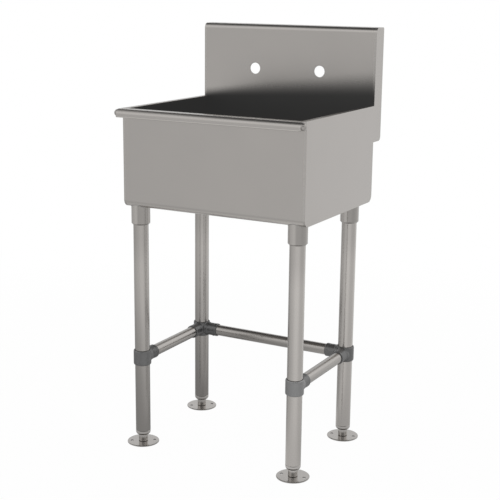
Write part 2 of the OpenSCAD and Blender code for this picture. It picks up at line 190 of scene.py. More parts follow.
light = {"world": 0.62, "horizon": 0.96, "high": 1.32, "overhead": 0.13,
         "climb": (0.08, 0.36), "darkens": (0.70, 0.92), "darkBehind": 0.25,
         "left": 0.08, "leftEdge": 0.12, "farLeft": 0.38, "right": 0.22, "rightEdge": 0.18,
         "rightEnds": (0.45, 0.8), "behind": 0.28, "behindFrom": 0.8, "blend": 0.2,
         "ownDark": 0.85, "ownUp": (0.03, 0.10), "ownTop": (0.35, 0.55), "ownSide": (0.03, 0.20),
         "aim": (0, 0, 0.6),
         "lamps": (("key", (1.7, -2.6, 3.0), 2.2, 34), ("fill", (-2.6, -1.4, 2.2), 2.4, 14),
                   ("back", (0.6, 2.8, 2.6), 2.4, 16))}
ground = {"tone": 0.86, "share": 0.97, "far": (0.6, 6.0), "near": 0.74, "nearRight": 0.14,
          "across": (-0.1, 0.8), "shadeEnds": (0.9, 2.6), "half": 60, "below": 0.0003}


def rays(kit):
    # which rays see the surface or the studio
    path = kit.node("ShaderNodeLightPath").socket.node.outputs
    return [Wire(kit, path["Is " + word + " Ray"]) for word in ("Camera", "Glossy", "Transmission")]


def distance(kit, x, y):
    return kit.root(x * x + y * y + 0.0001)


def sideTone(kit, x, y):
    # the studio is brightest behind the camera and darker to both sides of it, which gives the
    # round tubes their edges; away runs from 0 on the camera's side to 1 on the far side
    length = distance(kit, x, y)
    ahead, aside = math.sin(view["yaw"]), math.cos(view["yaw"])
    away = 0.5 - (x * ahead - y * aside) / length * 0.5
    right = kit.ramp((x * aside + y * ahead) / length, -light["blend"], light["blend"])
    onLeft = kit.ramp(away, 0.0, light["leftEdge"]) * light["left"] + away * light["farLeft"]
    onLeft = onLeft * (1 - right)
    onRight = kit.ramp(away, 0.0, light["rightEdge"]) * (1 - kit.ramp(away, *light["rightEnds"]))
    onRight = onRight * right * light["right"]
    behind = kit.ramp(away, light["behindFrom"], 1.0)
    tone = 1 - onLeft * (1 - behind) - onRight - behind * light["behind"]
    return tone, behind, away


def makeStudio():
    scene.view_settings.view_transform = "Standard"
    world = bpy.data.worlds.new("studio")
    world.use_nodes = True
    scene.world = world
    kit = Finish("studio", world.node_tree)
    camera, glossy, through = rays(kit)
    x, y, up = kit.axes(kit.node("ShaderNodeTexCoord", output="Generated"))
    side, behind, away = sideTone(kit, x, y)
    low = light["horizon"] + kit.ramp(up, *light["climb"]) * (light["high"] - light["horizon"])
    dark = kit.ramp(up + behind * light["darkBehind"], *light["darkens"])
    mirrored = (low * (1 - dark) + dark * light["overhead"]) * side
    # the camera and its stand are dark in front of the studio wall
    own = kit.ramp(up, *light["ownUp"]) * (1 - kit.ramp(up, *light["ownTop"]))
    own = own * (1 - kit.ramp(away, *light["ownSide"]))
    mirrored = mirrored * (1 - own * light["ownDark"])
    strength = camera + through + glossy * mirrored
    strength = strength + (1 - camera - glossy - through) * light["world"]
    back = kit.node("ShaderNodeBackground", None, {"Color": (1, 1, 1, 1), "Strength": strength})
    kit.node("ShaderNodeOutputWorld", None, {"Surface": back})
    for name, where, size, power in light["lamps"]:
        data = bpy.data.lights.new(name, "AREA")
        data.shape = "DISK"
        data.size = size
        data.energy = power
        lamp = bpy.data.objects.new(name, data)
        scene.collection.objects.link(lamp)
        lamp.location = where
        lamp.visible_glossy = False
        look = Vector(light["aim"]) - lamp.location
        lamp.rotation_euler = look.to_track_quat("-Z", "Y").to_euler()


def makeFloor():
    kit = Finish("paleFloor")
    camera, glossy, through = rays(kit)
    x, y = kit.axes(kit.place())[:2]
    far = kit.ramp(x * x + y * y, *ground["far"])
    share = ground["share"] + far * (1 - ground["share"])
    # for reflections the floor near the sink is in its shade, most of all on the left
    near = ground["near"] + kit.ramp(x, *ground["across"]) * ground["nearRight"]
    shade = near + kit.ramp(distance(kit, x, y), *ground["shadeEnds"]) * (1 - near)
    level = 1 - glossy * (1 - sideTone(kit, x, y)[0] * shade)
    matt = kit.node("ShaderNodeBsdfDiffuse", None, {"Color": (*grey(ground["tone"]), 1)})
    glow = kit.node("ShaderNodeEmission", None, {"Color": level, "Strength": 1.0})
    both = kit.node("ShaderNodeMixShader", None,
                    {0: (camera + glossy + through) * share, 1: matt, 2: glow})
    kit.node("ShaderNodeOutputMaterial", None, {"Surface": both})
    mesh = bpy.data.meshes.new("floor")
    s = ground["half"]
    mesh.from_pydata([(-s, -s, 0), (s, -s, 0), (s, s, 0), (-s, s, 0)], [], [(0, 1, 2, 3)])
    mesh.materials.append(kit.material)
    floor = bpy.data.objects.new("floor", mesh)
    floor.location.z = -ground["below"]
    scene.collection.objects.link(floor)


# finishes: the tones of the steel, the stretch of its scratches along X, Y and Z, which is small
# where they run, and where shade or light is painted into it, with places in millimetres

steel = {"front": 0.410, "side": 0.390, "tube": 0.505, "brace": 0.3535, "gusset": 0.451,
         "rollEnd": 0.36, "polished": 0.50, "foot": 0.50, "flange": 0.43, "warm": 0.045,
         "scratches": 0.05, "scratchDepth": 0.000012, "swell": 0.0012}
grain = {"alongX": (10, 1500, 1500), "alongY": (1500, 10, 1500), "round": (300, 300, 2400),
         "even": (900, 900, 900), "coarse": (260, 260, 260)}
# painted shade and glow inside the bowl, and painted light on the bends
bowlShade = {"tone": 0.030, "glow": 0.0236, "edge": (943, 974), "climb": (24, 70), "left": -250,
             "deep": (760, 875), "front": (-212, -170), "least": 0.3, "bent": 1.55}
# painted shade on the legs
legShade = {"weld": 0.14, "weldAt": (500, 600), "foot": 0.05, "footAt": (50, 200),
            "left": 0.11, "leftFoot": 0.24, "leftAt": (120, 460)}
# painted shade across the gusset sockets, as the camera sees them
gussetShadeBands = {"paintedShade": 0.348, "paintedShadeAt": (-0.45, -0.12), "back": 0.139, "backAt": (0.1, 0.7)}


def insideBowl(kit, x, y, z):
    # 1 on the faces inside the bowl, by the distance from the middles of its bends
    b = bowl
    over = kit.highest((b["bend"] + shiftY) * mm - y, y - (backY - b["bend"] + shiftY) * mm, 0.0)
    under = kit.highest((b["bottom"] + b["bend"]) * mm - z, 0.0)
    reach = kit.root(over * over + under * under)
    inward = kit.fall(reach, b["bend"] - 1.0, b["bend"] - 0.4)
    across = kit.fall(abs(x), sheetHalf + 0.3, sheetHalf + 0.8)
    # the shade starts higher towards the right
    slant = (x / mm - bowlShade["left"]) / (-2 * bowlShade["left"])
    low, high = [(at + slant * climb) * mm
                 for at, climb in zip(bowlShade["edge"], bowlShade["climb"])]
    below = 1 - kit.ramp(z, low, high)
    ledge = b["t"] + shiftY
    rim = kit.rise(y, ledge - 0.05, ledge + 0.15)
    rim = rim * kit.fall(z, b["rim"] - b["t"] - 0.2, b["rim"] - b["t"] + 0.3)
    rim = kit.highest(rim, kit.rise(y, b["d"] + shiftY - 1.65, b["d"] + shiftY - 0.65))
    return inward * across * below * rim


def paintedBendLight(kit, x, y, z, inside):
    # painted light: the bend at the foot of the front and the turned edge of the roll are painted
    # brighter, standing in for the bright floor that they mirror
    b = bowl
    start = b["bottom"] + b["bend"]
    bent = kit.rise(start * mm - z, 1, 14) * (1 - inside)
    bent = bent * kit.fall(y, b["bend"] + shiftY, b["bend"] + shiftY + 10)
    bent = bent * kit.fall(abs(x), sheetHalf - 0.7, sheetHalf - 0.1)
    turnedEdge = kit.rise(z, rollFoot - 2.8, rollFoot - 0.2)
    turnedEdge = turnedEdge * kit.fall(z, rollFoot + 1.5, rollFoot + 3.4)
    turnedEdge = turnedEdge * kit.fall(y, shiftY - 1.15, shiftY - 0.35)
    return kit.highest(bent, turnedEdge)


def paintedLegShade(kit, x, y, z):
    # painted shade: darker next to the welds under the bowl and by the foot, and more so on the left,
    # where the floor that the legs mirror is in shade
    s = legShade
    paintedShade = kit.rise(z, *s["weldAt"]) * s["weld"] + kit.fall(z, *s["footAt"]) * s["foot"]
    return paintedShade + kit.fall(x, -50, 50) * (s["left"] + kit.fall(z, *s["leftAt"]) * s["leftFoot"])


def paintedGussetShade(kit, x, y, z):
    # painted reflection: across each socket from left to right as the camera sees it, it is pale, then
    # darker, then less so
    right = kit.rise(x, -1, 1) * 2 - 1
    rear = kit.rise(y, middleY - 1, middleY + 1) * 2 - 1
    fromMiddle = y - middleY * mm - rear * ((leg["rear"] - leg["front"]) / 2 * mm)
    across = (abs(x) - leg["x"] * mm) * right * math.cos(view["yaw"])
    across = (across + fromMiddle * math.sin(view["yaw"])) / (leg["gusset"] * mm)
    s = gussetShadeBands
    return kit.ramp(across, *s["paintedShadeAt"]) * s["paintedShade"] - kit.ramp(across, *s["backAt"]) * s["back"]


def brushed(name, tone, stretch, rough, waves, darker=None, inBowl=False, welded=False):
    kit = Finish(name)
    place = kit.place()
    x, y, z = kit.axes(place)
    fine = kit.noise(kit.stretched(place, stretch), 1.0, 4, 0.65)
    coarse = kit.noise(kit.stretched(place, [s * 0.22 for s in stretch]), 1.0, 3, 0.6)
    cloud = kit.noise(place, 6.0, 3, 0.55)
    smear = kit.noise(kit.stretched(place, (9, 9, 5)), 1.7, 4, 0.6)
    scratches = (fine - 0.5) * 0.9 + (coarse - 0.5) * 0.3
    value = 1.0 + (scratches + cloud - 0.5) * steel["scratches"]
    base = kit.mixed(cloud, grey(tone * 0.985, steel["warm"]), grey(tone * 1.015, 0.052))
    colour = kit.stretched(base, kit.joined(value, value, value))
    roughness = rough + (scratches + smear - 0.5) * steel["scratches"]
    values = {"Metallic": 1.0}
    inside = 0.0
    if inBowl:
        # painted shade: inside the bowl darker and duller, lighter further down and on the inside of
        # the front
        inside = insideBowl(kit, x, y, z)
        s = bowlShade
        deep = kit.rise(z, *s["deep"]) * kit.rise(y, *s["front"])
        dark = inside * (deep * (1 - s["least"]) + s["least"])
        colour = kit.mixed(dark, colour, grey(s["tone"], 0.02))
        roughness = roughness + inside * 0.05
        # painted light: the bends painted brighter
        bent = paintedBendLight(kit, x, y, z, inside)
        colour = kit.mixed(bent, colour, grey(tone * s["bent"], 0.048))
        uneven = 1.0 + x * 0.2 + scratches * 0.12 + (cloud - 0.5) * 0.10
        # painted glow: the shaded inside gives off a little light of its own, a little more towards the
        # right
        dim = dark * s["glow"] * uneven
        values["Emission Color"] = kit.joined(dim * 1.01, dim, dim * 0.985)
        values["Emission Strength"] = 1.0
    # painted shade on the legs and the gusset sockets
    if darker:
        colour = kit.mixed(darker(kit, x, y, z), colour, grey(0.0))
    if welded:
        # ground smooth beside the weld at each end; its paler colour is also a painted highlight along
        # the corner
        wobble = (kit.noise(place, 90.0, 2) - 0.5) * 0.0025
        band = kit.rise(abs(x) + wobble, sheetHalf - 5.5, sheetHalf - 3.5) * (1 - inside)
        swirl = kit.noise(place, 420.0, 2)
        beside = kit.mixed(swirl, grey(tone * 0.99, steel["warm"]), grey(tone * 1.12, steel["warm"]))
        colour = kit.mixed(band * 0.8, colour, beside)
        roughness = roughness + band * (swirl * 0.12 - 0.03)
    normal = kit.bump(fine * 0.6 + coarse * 0.4, steel["scratchDepth"], 0.5)
    swell = kit.noise(kit.stretched(place, (3.2, 3.2, 3.2)), 1.0, 1, 0.4)
    normal = kit.bump(swell, steel["swell"] * waves, 1.0, normal)
    values.update({"Base Color": colour, "Roughness": roughness, "Normal": normal})
    return kit.surface(values)


def castMetal(name, tone, onRight=0.0):
    kit = Finish(name)
    place = kit.place()
    roughCast = kit.noise(place, 900.0, 3, 0.7)
    blotch = kit.noise(place, 70.0, 4, 0.6)
    worn = kit.ramp(kit.noise(place, 210.0, 3, 0.6), 0.56, 0.72)
    colour = kit.mixed(blotch, grey(tone * 0.82), grey(tone * 1.14))
    colour = kit.mixed(worn * 0.35, colour, grey(tone * 1.5))
    if onRight:
        # painted light: the right fittings paler, as the light falls from the right
        x, y = kit.axes(place)[:2]
        colour = kit.mixed(kit.rise(x, -50, 50) * onRight, colour, grey(tone * 2.2))
        # painted shadow: the sockets of the front fittings darker than their collars
        collarEnd = leg["front"] + shiftY + fitting["r"]
        arm = kit.rise(y, collarEnd - 3.65, collarEnd + 6.35)
        arm = arm * kit.fall(y, middleY - 1, middleY + 1)
        colour = kit.mixed(arm * 0.42, colour, grey(tone * 0.2))
    roughness = 0.40 + (blotch - 0.5) * 0.22 + (roughCast - 0.5) * 0.16
    normal = kit.bump(roughCast * 0.5 + blotch * 0.8, 0.00018, 0.7)
    return kit.surface({"Base Color": colour, "Metallic": 0.85, "Roughness": roughness,
                        "Normal": normal})


def plainFinish(name, dark, pale, metallic, rough, scale, depth):
    kit = Finish(name)
    place = kit.place()
    speck = kit.noise(place, scale, 4, 0.6)
    patch = kit.noise(place, scale * 0.12, 3, 0.5)
    colour = kit.mixed(speck * 0.5 + patch * 0.5, dark, pale)
    roughness = rough + (speck - 0.5) * 0.2 + (patch - 0.5) * 0.1
    normal = kit.bump(speck, depth, 0.6)
    return kit.surface({"Base Color": colour, "Metallic": metallic, "Roughness": roughness,
                        "Normal": normal})


def turned(name, tone, rough):
    # turning marks run round the upright axis
    kit = Finish(name)
    place = kit.place()
    z = kit.axes(place)[2]
    rings = kit.noise(kit.stretched(place, (14, 14, 2600)), 1.0, 3, 0.6)
    cloud = kit.noise(place, 34.0, 3, 0.5)
    byFloor = kit.fall(z, 1, 9)
    colour = kit.mixed(cloud, grey(tone * 0.92, 0.04), grey(tone * 1.08, 0.045))
    colour = kit.mixed(byFloor * 0.25, colour, grey(tone * 0.7, 0.04))
    roughness = rough + (rings - 0.5) * 0.1 + (cloud - 0.5) * 0.10 + byFloor * 0.06
    normal = kit.bump(rings, 0.00001, 0.5)
    return kit.surface({"Base Color": colour, "Metallic": 1.0, "Roughness": roughness,
                        "Normal": normal})


# name, grain, roughness, depth of the waves, and what else changes over the surface
brushedFinishes = {
    "front": ("frontSheet", "alongX", 0.25, 0.6, {"inBowl": True, "welded": True}),
    "side": ("sideSheet", "alongY", 0.25, 0.6, {"inBowl": True}),
    "tube": ("legTube", "round", 0.24, 0.05, {"darker": paintedLegShade}),
    "brace": ("braceTube", "even", 0.24, 0.05, {}),
    "gusset": ("gussetSocket", "round", 0.25, 0.05, {"darker": paintedGussetShade}),
    "rollEnd": ("rollEnd", "coarse", 0.36, 0.1, {})}
# name and roughness
turnedFinishes = {"polished": ("polishedStrainer", 0.20), "foot": ("turnedFoot", 0.17),
                  "flange": ("footFlange", 0.11)}
# name, tone, and how much paler the right fittings are painted, for the light from the right
castFinishes = {"castFront": ("castTee", 0.190, 0.38), "castRear": ("castCorner", 0.148, 0.10),
                "zinc": ("castLocknut", 0.30, 0.0)}
# name, dark and pale colour, metallic, roughness, scale of the specks, depth of the bump
plainFinishes = {
    "bead": ("weldBead", grey(0.30, 0.02), grey(0.46, 0.03), 1.0, 0.34, 900, 0.0001),
    "screw": ("blackScrew", grey(0.018), grey(0.05), 0.7, 0.42, 1200, 0.00004),
    "insert": ("pressedInsert", grey(0.22), grey(0.34), 0.9, 0.42, 500, 0.00008),
    "drilled": ("drilledWall", grey(0.20, 0.03), grey(0.30, 0.03), 0.9, 0.5, 900, 0.00006),
    "rubber": ("blackRubber", grey(0.012), grey(0.03), 0.0, 0.62, 700, 0.0001),
    "fibre": ("pressedFibre", (0.16, 0.10, 0.05), (0.30, 0.21, 0.12), 0.0, 0.8, 800, 0.0001)}
finishes = {}


def makeFinishes():
    for key, (name, stretch, rough, waves, extra) in brushedFinishes.items():
        finishes[key] = brushed(name, steel[key], grain[stretch], rough, waves, **extra)
    for key, (name, rough) in turnedFinishes.items():
        finishes[key] = turned(name, steel[key], rough)
    for key, values in castFinishes.items():
        finishes[key] = castMetal(*values)
    for key, values in plainFinishes.items():
        finishes[key] = plainFinish(*values)


# making pieces

def newPiece(name, mesh, finish, body, nodes, angle, even=True):
    mesh.materials.clear()
    mesh.materials.append(finishes[finish])
    mesh.shade_smooth()
    mesh.set_sharp_from_angle(angle=math.radians(angle))
    piece = bpy.data.objects.new(name, mesh)
    scene.collection.objects.link(piece)
    if even:
        keep = piece.modifiers.new("evenShading", "WEIGHTED_NORMAL")
        keep.keep_sharp = True
        keep.weight = 80
    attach(piece, body)
    if nodes:
        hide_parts(*nodes)


def finishNode(node, finish):
    # a CAD piece that stays and only gets its material
    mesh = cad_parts[node].data
    mesh.materials.clear()
    mesh.materials.append(finishes[finish])


def meshFrom(name, build):
    bm = bmesh.new()
    build(bm)
    bmesh.ops.remove_doubles(bm, verts=bm.verts, dist=1e-7)
    bmesh.ops.recalc_face_normals(bm, faces=bm.faces)
    mesh = bpy.data.meshes.new(name)
    bm.to_mesh(mesh)
    bm.free()
    return mesh


def arc(cx, cy, r, start, end, steps):
    out = []
    for i in range(steps + 1):
        a = math.radians(start + (end - start) * i / steps)
        out.append((cx + r * math.cos(a), cy + r * math.sin(a)))
    return out


def addLathe(bm, outline, where, turn=None, steps=96, closed=False):
    # outline is (radius, height) round the upright axis, in millimetres, then turned and moved
    move = Matrix.Translation(Vector(where) * mm) @ (turn or Matrix.Identity(3)).to_4x4()
    rings = []
    for r, z in outline:
        count = steps if r > 1e-6 else 1
        rings.append([bm.verts.new(move @ (Vector((r * math.cos(2 * pi * i / steps),
                                                   r * math.sin(2 * pi * i / steps), z)) * mm))
                      for i in range(count)])
    pairs = list(zip(rings, rings[1:]))
    if closed:
        pairs.append((rings[-1], rings[0]))
    for a, b in pairs:
        for i in range(steps):
            j = (i + 1) % steps
            corners = [a[i % len(a)], a[j % len(a)], b[j % len(b)], b[i % len(b)]]
            corners = list(dict.fromkeys(corners))
            if len(corners) > 2:
                bm.faces.new(corners)


def latheMesh(name, outline, where, turn=None, steps=96, closed=False):
    return meshFrom(name, lambda bm: addLathe(bm, outline, where, turn, steps, closed))


def addRod(bm, where, r, start, end, turn, steps):
    addLathe(bm, [(0, start), (r, start), (r, end), (0, end)], where, turn, steps)


def tubeOutline(r, wall, z0, z1, edge=0.3):
    return [(r - wall, z0 + edge), (r - wall + edge, z0), (r - edge, z0), (r, z0 + edge),
            (r, z1 - edge), (r - edge, z1), (r - wall + edge, z1), (r - wall, z1 - edge)]


def addBox(bm, low, high, move=None):
    low, high = Vector(low), Vector(high)
    for v in bmesh.ops.create_cube(bm, size=1)["verts"]:
        p = ((low + high) / 2 + v.co * (high - low)) * mm
        v.co = move @ p if move else p


def addBead(bm, points, r, sides=8):
    # a weld bead round the closed row of points, with a slightly rippled width
    n = len(points)
    rings = []
    side = None
    for i, p in enumerate(points):
        along = (points[(i + 1) % n] - points[i - 1]).normalized()
        side = side or along.orthogonal()
        side = (side - along * side.dot(along)).normalized()
        other = along.cross(side)
        width = r * mm * (1 + 0.12 * math.sin(i * 2.4))
        rings.append([bm.verts.new(p + width * (math.cos(2 * pi * k / sides) * side
                                                + math.sin(2 * pi * k / sides) * other))
                      for k in range(sides)])
    # the last ring meets the first where their points are nearest
    last = min(range(sides), key=lambda s: (rings[-1][0].co - rings[0][s].co).length)
    for i in range(n):
        a, b = rings[i], rings[(i + 1) % n]
        shift = last if i == n - 1 else 0
        for k in range(sides):
            bm.faces.new((a[k], a[(k + 1) % sides], b[(k + 1 + shift) % sides],
                          b[(k + shift) % sides]))


def scratchObject(mesh):
    piece = bpy.data.objects.new("scratch", mesh)
    scene.collection.objects.link(piece)
    return piece


def settled(piece, name):
    # the mesh with its modifiers applied; the scratch object goes
    graph = bpy.context.evaluated_depsgraph_get()
    graph.update()
    mesh = bpy.data.meshes.new_from_object(piece.evaluated_get(graph))
    mesh.name = name
    bpy.data.objects.remove(piece)
    return mesh


def joinedWith(mesh, other, operation="UNION"):
    base, tool = scratchObject(mesh), scratchObject(other)
    change = base.modifiers.new("shape", "BOOLEAN")
    change.operation = operation
    change.object = tool
    change.solver = "EXACT"
    made = settled(base, mesh.name)
    bpy.data.objects.remove(tool)
    return made


def cutBy(mesh, tool):
    return joinedWith(mesh, tool, "DIFFERENCE")


toY = Matrix.Rotation(-pi / 2, 3, "X")
toX = Matrix.Rotation(pi / 2, 3, "Y")


def toSide(angle):
    # from upright to level, pointing at an angle round the upright axis
    return Matrix.Rotation(math.radians(angle), 3, "Z") @ toX


def rods(name, holes, steps):
    # round cutters, each (place, radius, length, turn)
    def build(bm):
        for where, r, length, turn in holes:
            addRod(bm, where, r, 0, length, turn, steps)
    return meshFrom(name, build)


# the bowl and splash

bowl = {"w": 540.0, "d": 420.0, "bottom": 680.0, "rim": 945.0, "top": 1155.0, "t": 1.5,
        "bend": 19.0, "rollH": 22.2, "rollOut": 33.3, "rollBend": 15.0, "rollTurn": 2.5,
        "rollSlot": 2.0, "ball": 9.6, "ledgeBend": 4.0, "return": 51.0, "topBend": 15.0,
        "rearBend": 6.0, "lip": 16.0, "earDrop": 100.0, "earRound": 12.0, "earLip": 12.0,
        "flange": 14.0, "hem": 8.0, "tapHole": 16.0, "tapGap": 101.6, "tapZ": 1031.0,
        "drainY": 250.0, "drainHole": 44.5, "capRound": 1.2}
sideRounds = {"lip": (3.5, 6), "hem": (1.6, 4), "rim": (2.4, 5), "outside": (1.0, 3)}
shiftY = (bowl["rollOut"] - bowl["d"] - bowl["return"]) / 2    # puts the middle of the sink on Y 0
half = bowl["t"] / 2
sheetHalf = bowl["w"] / 2 - bowl["t"]
backY = bowl["d"] + bowl["t"]
earY = bowl["d"] + bowl["return"]
rollFoot = bowl["rim"] - bowl["rollH"]


def bendArc(name, steps, inset=0.0):
    # one bend of the sheet, from the roll round to the lip at the back: its outer face or further in
    b = bowl
    y, z, r, start, end = {
        "rollTurn": (b["rollTurn"] - b["rollOut"], rollFoot + b["rollTurn"], b["rollTurn"], 270, 180),
        "roll": (b["rollBend"] - b["rollOut"], b["rim"] - b["rollBend"], b["rollBend"], 180, 90),
        "ledge": (b["t"] - b["ledgeBend"], b["rim"] - b["ledgeBend"], b["ledgeBend"], 90, 0),
        "front": (b["bend"], b["bottom"] + b["bend"], b["bend"], 180, 270),
        "back": (backY - b["bend"], b["bottom"] + b["bend"], b["bend"], 270, 360),
        "top": (b["d"] + b["topBend"], b["top"] - b["topBend"], b["topBend"], 180, 90),
        "lip": (earY - b["rearBend"], b["top"] - b["rearBend"], b["rearBend"], 90, 0)}[name]
    return arc(y, z, r - inset, start, end, steps)


def sheetPath():
    # middle of the sheet in (y, z), from the turned back edge of the roll to the lip at the back;
    # a point stands just before and after each bend
    b = bowl
    path = [(-b["rollSlot"], rollFoot + half),
            (b["rollTurn"] - b["rollOut"] + 1, rollFoot + half)]
    path += bendArc("rollTurn", 8, half)
    path += bendArc("roll", 24, half)
    path += [(b["rollBend"] - b["rollOut"] + 1, b["rim"] - half),
             (b["t"] - b["ledgeBend"] - 1, b["rim"] - half)]
    path += bendArc("ledge", 8, half)
    path += [(half, b["rim"] - b["ledgeBend"] - 2), (half, b["bottom"] + b["bend"] + 2)]
    path += bendArc("front", 16, half)
    path += [(b["bend"] + 2, b["bottom"] + half), (backY - b["bend"] - 2, b["bottom"] + half)]
    path += bendArc("back", 16, half)
    path += [(b["d"] + half, b["bottom"] + b["bend"] + 2),
             (b["d"] + half, b["top"] - b["topBend"] - 2)]
    path += bendArc("top", 10, half)
    path += [(b["d"] + b["topBend"] + 2, b["top"] - half),
             (earY - b["rearBend"] - 2, b["top"] - half)]
    path += bendArc("lip", 10, half)
    path += [(earY - half, b["top"] - b["lip"])]
    return path


def thickened(path, t):
    # the two faces of a sheet whose middle follows path
    sides = ([], [])
    for i, (y, z) in enumerate(path):
        y0, z0 = path[max(i - 1, 0)]
        y1, z1 = path[min(i + 1, len(path) - 1)]
        length = math.hypot(y1 - y0, z1 - z0)
        ny, nz = -(z1 - z0) / length, (y1 - y0) / length
        sides[0].append((y + ny * t / 2, z + nz * t / 2))
        sides[1].append((y - ny * t / 2, z - nz * t / 2))
    return sides


def addWall(bm, outline, x0, x1):
    # the wall round an outline in (y, z), open at both ends
    rows = [[bm.verts.new(Vector((x, y + shiftY, z)) * mm) for y, z in outline] for x in (x0, x1)]
    n = len(outline)
    for i in range(n):
        j = (i + 1) % n
        bm.faces.new((rows[0][i], rows[0][j], rows[1][j], rows[1][i]))
    return rows


def addPlate(bm, outline, side):
    # a plate as thick as the sheet, flat against its end
    rows = addWall(bm, outline, sheetHalf * side, bowl["w"] / 2 * side)
    bm.faces.new(rows[0])
    bm.faces.new(rows[1][::-1])


def makeSheet():
    def build(bm):
        upper, lower = thickened(sheetPath(), bowl["t"])
        count = len(upper)
        for row in addWall(bm, upper + lower[::-1], -sheetHalf, sheetHalf):
            for i in range(count - 1):
                bm.faces.new((row[i], row[i + 1], row[2 * count - 2 - i], row[2 * count - 1 - i]))
    mesh = meshFrom("bowlSheet", build)
    splash = bowl["d"] + shiftY
    holes = [((s * bowl["tapGap"], splash - 5, bowl["tapZ"]), bowl["tapHole"], 12, toY)
             for s in (-1, 1)]
    under = (0, bowl["drainY"] + shiftY, bowl["bottom"] - 5)
    holes.append((under, bowl["drainHole"], 12, None))
    mesh = cutBy(mesh, rods("holes", holes, 72))
    newPiece("bowlSheet", mesh, "front", "sink", ["bowl_sheet"], 32)
    # drawn edges of the two tap holes
    r = bowl["tapHole"]
    outline = [(r - 0.25, 0.35), (r + 0.9, 0.02), (r + 0.9, 0.3), (r + 0.2, 1.2),
               (r + 0.02, 1.6), (r - 0.25, 1.5)]
    for side, word in ((-1, "Left"), (1, "Right")):
        where = (side * bowl["tapGap"], splash - 0.1, bowl["tapZ"])
        edge = latheMesh("tapHoleEdge", outline, where, toY, 72, True)
        newPiece("tapHoleEdge" + word, edge, "bead", "sink", (), 35)


def sideOutline():
    b = bowl
    out = [(0.0, b["rim"])]
    out += bendArc("front", 14)
    out += bendArc("back", 14)
    out += [(backY, b["rim"] - b["earDrop"])]
    out += arc(earY - b["earRound"], b["rim"] - b["earDrop"] + b["earRound"], b["earRound"],
               270, 360, 10)
    out += bendArc("lip", 8)[::-1]
    out += bendArc("top", 8)[::-1]
    out += [(b["d"], b["rim"])]
    return out


def makeSide(side, word):
    b = bowl

    def strip(xs, ys, zs):
        low = (min(xs), min(ys) + shiftY, min(zs))
        high = (max(xs), max(ys) + shiftY, max(zs))
        return meshFrom("strip", lambda bm: addBox(bm, low, high))

    mesh = meshFrom("sidePanel", lambda bm: addPlate(bm, sideOutline(), side))
    outer, inner, earIn = [(b["w"] / 2 - inset) * side for inset in (0, b["flange"], b["earLip"])]
    joint = (sheetHalf + 0.5) * side
    for piece in (
            # flange on the rim, its hem, and the lip down the back of the ear
            strip((inner, joint), (b["t"], b["d"]), (b["rim"] - b["t"], b["rim"])),
            strip((inner, inner + side * b["t"]), (b["t"], b["d"]),
                  (b["rim"] - b["hem"], b["rim"] - 0.5)),
            strip((earIn, joint), (earY - b["t"], earY),
                  (b["rim"] - b["earDrop"] + b["earRound"], b["top"] - b["lip"] - 0.3))):
        mesh = joinedWith(mesh, piece)
    bm = bmesh.new()
    bm.from_mesh(mesh)
    bmesh.ops.remove_doubles(bm, verts=bm.verts, dist=1e-6)
    bmesh.ops.dissolve_limit(bm, angle_limit=0.002, verts=bm.verts, edges=bm.edges)

    def isAt(value, place, off=0.01):
        return abs(value - place * mm) < off * mm

    def onLip(c, e):
        return isAt(c.x, outer) and isAt(c.y, earY + shiftY)

    def onHem(c, e):
        return isAt(c.x, inner) and isAt(c.z, b["rim"])

    def onRim(c, e):
        along = abs(e.verts[0].co.y - e.verts[1].co.y)
        return isAt(c.x, outer) and isAt(c.z, b["rim"]) and c.y < (b["d"] + shiftY) * mm and along > 0.1

    def onOutside(c, e):
        return isAt(c.x, outer) and not isAt(c.z, b["rim"], 0.1)

    for test, key in ((onLip, "lip"), (onHem, "hem"), (onRim, "rim"), (onOutside, "outside")):
        width, segments = sideRounds[key]
        edges = [e for e in bm.edges if len(e.link_faces) == 2 and e.calc_face_angle(0) > 1.0
                 and test((e.verts[0].co + e.verts[1].co) / 2, e)]
        bmesh.ops.bevel(bm, geom=edges, offset=width * mm, segments=segments, profile=0.5,
                        affect="EDGES", clamp_overlap=True)
    bmesh.ops.recalc_face_normals(bm, faces=bm.faces)
    bm.to_mesh(mesh)
    bm.free()
    newPiece("sidePanel" + word, mesh, "side", "sink", [word.lower() + "_side_panel"],
             32)


def makeCap(side, word):
    # end plate in the outline of the roll, with half a ball on it
    b = bowl
    outline = [(0.0, rollFoot)] + bendArc("rollTurn", 8) + bendArc("roll", 20) + [(0.0, b["rim"])]
    outer = b["w"] / 2 * side

    def plate(bm):
        addPlate(bm, outline, side)
        bmesh.ops.recalc_face_normals(bm, faces=bm.faces)
        edges = []
        for e in bm.edges:
            p, q = e.verts[0].co, e.verts[1].co
            onEnd = abs(p.x - outer * mm) < 1e-6 and abs(p.x - q.x) < 1e-6
            if onEnd and min(p.y, q.y) < (shiftY - 0.5) * mm:
                edges.append(e)
        bmesh.ops.bevel(bm, geom=edges, offset=b["capRound"] * mm, segments=4, profile=0.5,
                        affect="EDGES", clamp_overlap=True)
    mesh = meshFrom("rollCap", plate)
    r = b["ball"]
    ball = [(0, -0.7), (r - 0.1, -0.7)] + arc(0, 0, r, 0, 90, 16)[:-1] + [(0, r)]
    where = (outer, shiftY - b["rollOut"] + b["rollH"] / 2, b["rim"] - b["rollH"] / 2)
    mesh = joinedWith(mesh, latheMesh("ball", ball, where, toSide(90 - 90 * side), 64))
    newPiece("rollCap" + word, mesh, "rollEnd", "sink", ["roll_cap_" + word.lower()],
             40)


# gussets, legs and braces

